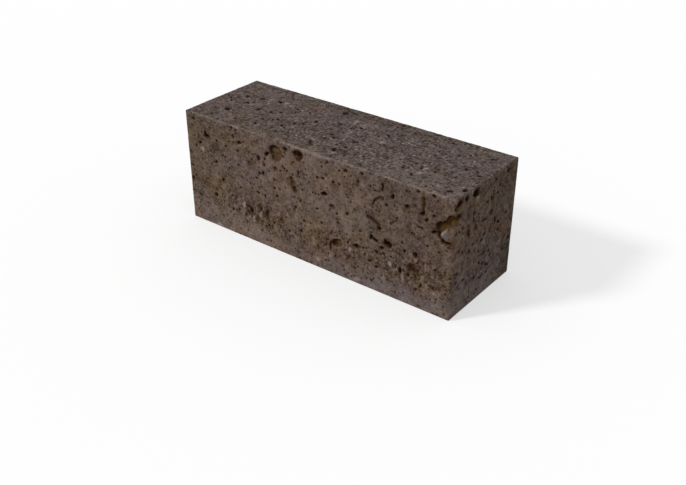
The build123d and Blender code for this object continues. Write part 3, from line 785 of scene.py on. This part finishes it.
def unfolded(mesh, box_place):
    """Map for the paver: each face of the block laid out flat beside the others."""
    size = high - low
    cells = {
        FRONT: (0, 0), BACK: (0, 1), WEARING: (0, 2), BED: (0, 3), LEFT_END: (1, 0), RIGHT_END: (1, 1),
    }
    heights = np.array([size[2], size[2], size[1], size[1]]) + MAP_GAP_MM
    rows = np.concatenate([[0], np.cumsum(heights)])
    first = values_of(mesh.polygons, "loop_start")
    total = values_of(mesh.polygons, "loop_total")
    place = box_place[values_of(mesh.loops, "vertex_index")]
    axis, is_high = faces_met(place, first, total)
    uv = np.zeros((len(place), 2))
    for face, (column, row) in cells.items():
        square, end = face
        here = np.repeat((axis == square) & (is_high == end), total)
        along = along_face(square)
        level = high[square] if end else low[square]
        past = np.abs(place[here, square] - level)
        flat = place[here][:, along] - centre[along]
        # what lies round an arris is laid out past the nearest edge
        every = np.arange(len(flat))
        edge = (np.abs(flat) / half[along]).argmax(1)
        flat[every, edge] += np.sign(flat[every, edge]) * past
        corner = (column * (size[0] + MAP_GAP_MM), rows[row])
        uv[here] = flat + half[along] + corner + MAP_GAP_MM
    layer = mesh.uv_layers.new(name="OFBake")
    layer.uv.foreach_set("vector", (uv / (rows[-1] + MAP_GAP_MM)).astype(np.float32).ravel())


def thinned(piece):
    """Thins out the flat stretches of the piece, not its pits, and keeps it in the solid's box."""
    count = sum(len(face.vertices) - 2 for face in piece.data.polygons)
    modifier = piece.modifiers.new("thin", "DECIMATE")
    modifier.ratio = TRIANGLE_BUDGET / count
    graph = bpy.context.evaluated_depsgraph_get()
    mesh = bpy.data.meshes.new_from_object(piece.evaluated_get(graph), depsgraph=graph)
    piece.modifiers.clear()
    piece.data = mesh
    places = values_of(mesh.vertices, "co", np.float32, 3)
    places = np.clip(places, (low + BOX_GAP_MM) * MM, (high - BOX_GAP_MM) * MM)
    mesh.vertices.foreach_set("co", places.astype(np.float32).ravel())


def cast_mesh():
    """The skin as a mesh, with its masks and its places on the box at each point."""
    skin = Skin()
    solid = solid_depth(skin)
    listed_holes(skin)
    strewn_holes(skin)
    place = skin.hull - skin.ways * surface_depth(skin, solid)[:, None]
    mesh = bpy.data.meshes.new("cast_paver")
    mesh.from_pydata((place * MM).tolist(), [], skin.faces.tolist())
    for name, values in masks_of(skin, solid).items():
        layer = mesh.attributes.new(name, "FLOAT", "POINT")
        layer.data.foreach_set("value", values.astype(np.float32))
    layer = mesh.attributes.new("box_place", "FLOAT_VECTOR", "POINT")
    layer.data.foreach_set("vector", skin.points.astype(np.float32).ravel())
    return mesh


def cast_paver():
    """The paver's visible skin, as one piece."""
    piece = bpy.data.objects.new("cast_paver", cast_mesh())
    bpy.context.scene.collection.objects.link(piece)
    thinned(piece)
    layer = piece.data.attributes["box_place"]
    unfolded(piece.data, values_of(layer.data, "vector", np.float32, 3).astype(float))
    piece.data.attributes.remove(piece.data.attributes["box_place"])
    for face in piece.data.polygons:
        face.use_smooth = True
    return piece


class Nodes:
    """Short ways to make and join the nodes of one material or world."""

    def __init__(self, owner, shader="Principled BSDF"):
        owner.use_nodes = True
        self.tree = owner.node_tree
        self.shader = self.tree.nodes[shader]
        self.place = self.add("ShaderNodeTexCoord").outputs["Object"]

    def add(self, kind, **values):
        node = self.tree.nodes.new(kind)
        for name, value in values.items():
            setattr(node, name, value)
        return node

    def join(self, source, socket):
        if isinstance(source, bpy.types.NodeSocket):
            self.tree.links.new(source, socket)
        else:
            socket.default_value = source

    def maths(self, operation, a, b, kind="ShaderNodeMath", second=1):
        node = self.add(kind, operation=operation)
        self.join(a, node.inputs[0])
        self.join(b, node.inputs[second])
        return node.outputs[0]

    def plus(self, first, *others):
        for other in others:
            first = self.maths("ADD", first, other)
        return first

    def times(self, first, *others):
        for other in others:
            first = self.maths("MULTIPLY", first, other)
        return first

    def minus(self, first, second):
        return self.maths("SUBTRACT", first, second)

    def larger(self, first, second):
        return self.maths("MAXIMUM", first, second)

    def mask(self, name):
        return self.add("ShaderNodeAttribute", attribute_name=name).outputs["Fac"]

    def between(self, value, start, stop, low_end=0.0, high_end=1.0):
        node = self.add("ShaderNodeMapRange", interpolation_type="SMOOTHSTEP")
        for socket, number in zip(node.inputs, (value, start, stop, low_end, high_end)):
            self.join(number, socket)
        return node.outputs[0]

    def stretched(self, scales):
        node = self.add("ShaderNodeMapping")
        self.join(self.place, node.inputs["Vector"])
        node.inputs["Scale"].default_value = scales
        return node.outputs[0]

    def seen(self):
        """1 for what the camera sees, straight or in gloss and glass, and 0 for what only lights."""
        path = self.add("ShaderNodeLightPath")
        seen = self.larger(path.outputs["Is Camera Ray"], path.outputs["Is Glossy Ray"])
        return self.larger(seen, path.outputs["Is Transmission Ray"])

    def noise(self, lump_mm, detail, vector=None):
        node = self.add("ShaderNodeTexNoise")
        self.join(vector or self.place, node.inputs["Vector"])
        node.inputs["Scale"].default_value = 1 / (lump_mm * MM)
        node.inputs["Detail"].default_value = detail
        return node.outputs["Fac"]

    def cells(self, cell_mm, output):
        node = self.add("ShaderNodeTexVoronoi")
        self.join(self.place, node.inputs["Vector"])
        node.inputs["Scale"].default_value = 1 / (cell_mm * MM)
        return node.outputs[output]

    def mix(self, factor, a, b):
        node = self.add("ShaderNodeMix", data_type="RGBA")
        node.clamp_factor = True
        self.join(factor, node.inputs[0])
        for colour, socket in ((a, node.inputs[6]), (b, node.inputs[7])):
            if isinstance(colour, tuple):
                colour = (*colour, 1.0)
            self.join(colour, socket)
        return node.outputs[2]

    def scaled(self, colour, value):
        return self.maths("SCALE", colour, value, "ShaderNodeVectorMath", "Scale")

    def summed(self, first, second):
        return self.maths("ADD", first, second, "ShaderNodeVectorMath")


# Colours of the concrete
SIDE_COLOUR = (0.127, 0.090, 0.071)
SIDE_BROWN = (0.111, 0.075, 0.056)
TOP_COLOUR = (0.111, 0.085, 0.078)
TOP_BROWN = (0.099, 0.076, 0.069)
CRUST = (0.121, 0.087, 0.053)
ASH = (0.120, 0.095, 0.091)
OCHRE = (0.082, 0.042, 0.009)
# painted lit side of the voids, in an ochre-stained tone
PAINTED_LIT_STAIN = (0.104, 0.063, 0.027)
REDDISH = (0.125, 0.081, 0.063)
GREENISH = (0.106, 0.091, 0.078)
GRIT = (0.111, 0.090, 0.076)
TOP_GRIT = (0.111, 0.095, 0.090)
HALO = (0.083, 0.047, 0.021)
# near black: painted shade in the voids, and dark grains
DARK_GRAIN_AND_PAINTED_SHADE = (0.0170, 0.0044, 0.0004)
PALE = (0.320, 0.260, 0.220)
STONE = (0.106, 0.097, 0.086)

# Sizes of the patches and grains in its colour, from the broadest to the finest
BROAD_MM = 30.0
TINT_MM = 11.0
PATCH_MM = 9.0
BLOTCH_MM = 4.6
CLOD_MM = 2.6
SPECK_MM = 2.5
SAND_MM = 1.3

# Streaks in the rough places: their width, and how much longer they are upright
STREAK_MM = 2.6
UPRIGHT = (1.0, 1.0, 0.28)

BUMP_MM = 0.4


def base_colour(n, top):
    """Brown-grey sides and cooler top, with their ochre, ash, reddish and greenish places."""
    broad = n.noise(BROAD_MM, 3)
    sides = n.mix(n.between(broad, 0.35, 0.65), SIDE_COLOUR, SIDE_BROWN)
    tops = n.mix(n.between(broad, 0.40, 0.62), TOP_COLOUR, TOP_BROWN)
    colour = n.mix(top, sides, tops)
    tint = n.between(n.noise(TINT_MM, 1), 0.36, 0.64, -0.26, 0.26)
    hue = n.plus(n.mask("crust"), n.times(tint, n.between(top, 0.0, 1.0, 1.0, 0.45)))
    colour = n.mix(hue, colour, CRUST)
    colour = n.mix(n.times(hue, -1.0), colour, ASH)
    colour = n.mix(n.times(n.mask("red"), 0.6), colour, REDDISH)
    return n.mix(n.times(n.mask("green"), 0.6), colour, GREENISH)


def grains_of(n, side, clods, sand):
    """Lighter and darker grains of three sizes. The larger are fainter on the wearing face."""
    blotches = n.between(n.noise(BLOTCH_MM, 1), 0.32, 0.68, -0.15, 0.13)
    return n.plus(
        n.times(blotches, n.plus(0.45, n.times(side, 0.55))),
        n.times(n.between(clods, 0.30, 0.70, -0.18, 0.15), n.plus(0.85, n.times(side, 0.15))),
        n.times(n.between(sand, 0.28, 0.72, -0.20, 0.18), n.plus(1.20, n.times(side, -0.20))),
    )


def specks_of(n, top, gritty, hole):
    """Separate grains of the mix: where they are pale, where dark, and the shade of the rest."""
    speck = n.between(n.cells(SPECK_MM, "Distance"), 0.20, 0.40, 1.0, 0.0)
    chance = n.add("ShaderNodeSeparateColor")
    n.join(n.cells(SPECK_MM, "Color"), chance.inputs[0])
    for_pale = n.plus(chance.outputs[0], n.times(top, 0.05))
    for_dark = n.plus(chance.outputs[1], n.times(gritty, 0.06), n.times(top, 0.08))
    pale = n.times(speck, n.between(for_pale, 0.80, 0.86), n.minus(1.0, hole))
    dark = n.times(speck, n.between(for_dark, 0.84, 0.90))
    shade = n.times(speck, n.between(chance.outputs[2], 0.0, 1.0, -0.18, 0.18))
    return pale, dark, shade


def stains_and_painted_light(n, colour, hole, grains, dark_specks):
    """The colour with its pale grains and stone, a painted highlight on the stone, and the painted light,
    painted shade and stain of its voids.
    """
    lit = n.mask("lit")
    ochre = n.mask("ochre")
    colour = n.mix(n.times(n.mask("halo"), 0.62), colour, HALO)
    # pale grains and stone, and the painted highlight on the stone's upper edge
    colour = n.mix(n.mask("pale"), colour, PALE)
    colour = n.mix(n.times(n.mask("stone"), 0.85), colour, STONE)
    # painted lit side of the voids, in a stained tone
    colour = n.mix(n.times(lit, 0.85), colour, n.scaled(PAINTED_LIT_STAIN, n.plus(1.0, n.times(grains, 1.1))))
    colour = n.mix(n.times(ochre, 0.85), colour, OCHRE)
    # painted shade in the voids, lifted where they are painted lit or ochre
    shade = n.times(hole, n.minus(1.0, n.times(n.larger(ochre, lit), 0.9)))
    return n.mix(n.larger(shade, n.times(dark_specks, 0.7)), colour, DARK_GRAIN_AND_PAINTED_SHADE)


def bumped(n, rise):
    """Fine bumps on the shader, as high as the rise says."""
    bump = n.add("ShaderNodeBump")
    bump.inputs["Strength"].default_value = 0.8
    bump.inputs["Distance"].default_value = BUMP_MM * MM
    n.join(rise, bump.inputs["Height"])
    n.join(bump.outputs[0], n.shader.inputs["Normal"])


def concrete():
    """Cast concrete: brown-grey sides, cooler top, sand grains, pores and stains, with painted light and
    painted shade in its voids.
    """
    material = bpy.data.materials.new("concrete")
    n = Nodes(material)
    top = n.mask("top")
    side = n.minus(1.0, top)
    hole = n.mask("hole")
    gritty = n.mask("gritty")
    patch = n.noise(PATCH_MM, 2)
    clods = n.noise(CLOD_MM, 1)
    sand = n.noise(SAND_MM, 1)
    grains = grains_of(n, side, clods, sand)
    pale_specks, dark_specks, speck_shade = specks_of(n, top, gritty, hole)
    streaks = n.between(n.noise(STREAK_MM, 2, n.stretched(UPRIGHT)), 0.36, 0.64, -0.17, 0.12)

    coarse = n.plus(0.92, n.times(gritty, 0.42), n.times(top, 0.34))
    grit = n.plus(n.times(grains, coarse), n.times(streaks, gritty, side), n.times(speck_shade, coarse))
    grit_colour = n.scaled(n.mix(top, GRIT, TOP_GRIT), n.larger(grit, -0.5))
    patches = n.between(patch, 0.33, 0.67, -0.10, 0.10)
    level = n.plus(1.0, n.mask("light"), patches, n.times(n.mask("arris"), 0.28))
    colour = n.summed(n.scaled(base_colour(n, top), level), grit_colour)
    paleness = n.plus(0.18, n.times(gritty, 0.22), n.times(top, 0.30))
    colour = n.mix(n.times(pale_specks, paleness), colour, PALE)
    colour = stains_and_painted_light(n, colour, hole, grains, dark_specks)

    n.join(colour, n.shader.inputs["Base Color"])
    n.join(n.between(patch, 0.3, 0.7, 0.82, 0.95), n.shader.inputs["Roughness"])
    n.shader.inputs["Specular IOR Level"].default_value = 0.02
    rise = n.plus(n.times(clods, 0.7), n.times(sand, 0.45))
    bumped(n, n.plus(rise, n.times(dark_specks, -0.7), n.times(pale_specks, 0.2)))
    return material


def floor():
    """Pale floor that shows white to the camera and keeps the paver's shadow."""
    mesh = bpy.data.meshes.new("floor")
    reach = FLOOR_HALF_SIDE
    corners = [(-reach, -reach, 0), (reach, -reach, 0), (reach, reach, 0), (-reach, reach, 0)]
    mesh.from_pydata(corners, [], [(0, 1, 2, 3)])
    ground = bpy.data.objects.new("floor", mesh)
    bpy.context.scene.collection.objects.link(ground)
    material = bpy.data.materials.new("floor")
    n = Nodes(material)
    seen = n.seen()
    glow = n.add("ShaderNodeEmission")
    glow.inputs["Strength"].default_value = 1.0
    n.join(n.mix(seen, (FLOOR_PALE,) * 3, (1.0, 1.0, 1.0)), n.shader.inputs["Base Color"])
    n.shader.inputs["Roughness"].default_value = 1.0
    n.shader.inputs["Specular IOR Level"].default_value = 0.0
    blend = n.add("ShaderNodeMixShader")
    n.join(n.times(seen, FLOOR_GLOW), blend.inputs[0])
    n.join(n.shader.outputs[0], blend.inputs[1])
    n.join(glow.outputs[0], blend.inputs[2])
    n.join(blend.outputs[0], n.tree.nodes["Material Output"].inputs["Surface"])
    mesh.materials.append(material)


def sun(name, toward, level, spread):
    """Distant soft lamp. toward points to it, and level is what it adds to a face square to it."""
    light = bpy.data.lights.new(name, "SUN")
    light.energy = level * math.pi
    light.angle = math.radians(spread)
    lamp = bpy.data.objects.new(name, light)
    lamp.rotation_euler = Vector(toward).to_track_quat("Z", "Y").to_euler()
    bpy.context.scene.collection.objects.link(lamp)


def surroundings(level):
    """Even white light from all round, shown as white to the camera."""
    world = bpy.data.worlds.new("studio")
    bpy.context.scene.world = world
    n = Nodes(world, "Background")
    n.shader.inputs["Color"].default_value = (1, 1, 1, 1)
    n.join(n.between(n.seen(), 0.0, 1.0, level, 1.0), n.shader.inputs["Strength"])


def camera():
    """Camera at the photograph's place and lens."""
    az, el = math.radians(CAMERA_AZIMUTH), math.radians(CAMERA_ELEVATION)
    back = Vector((math.sin(az) * math.cos(el), -math.cos(az) * math.cos(el), math.sin(el)))
    data = bpy.data.cameras.new("camera")
    data.sensor_width = SENSOR_MM
    data.lens = LENS_MM
    data.clip_start = 0.01
    eye = bpy.data.objects.new("camera", data)
    eye.location = (Vector(AIM_MM) + back * CAMERA_DISTANCE_MM) * MM
    eye.rotation_euler = (-back).to_track_quat("-Z", "Y").to_euler()
    bpy.context.scene.collection.objects.link(eye)
    bpy.context.scene.camera = eye


paver = cast_paver()
paver.data.materials.append(concrete())
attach(paver, "root")
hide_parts(NODE)

floor()
sun("key", LIGHT_FROM, LAMP_LEVEL, LAMP_SPREAD)
surroundings(SKY_LEVEL)
camera()
bpy.context.scene.view_settings.view_transform = "Standard"
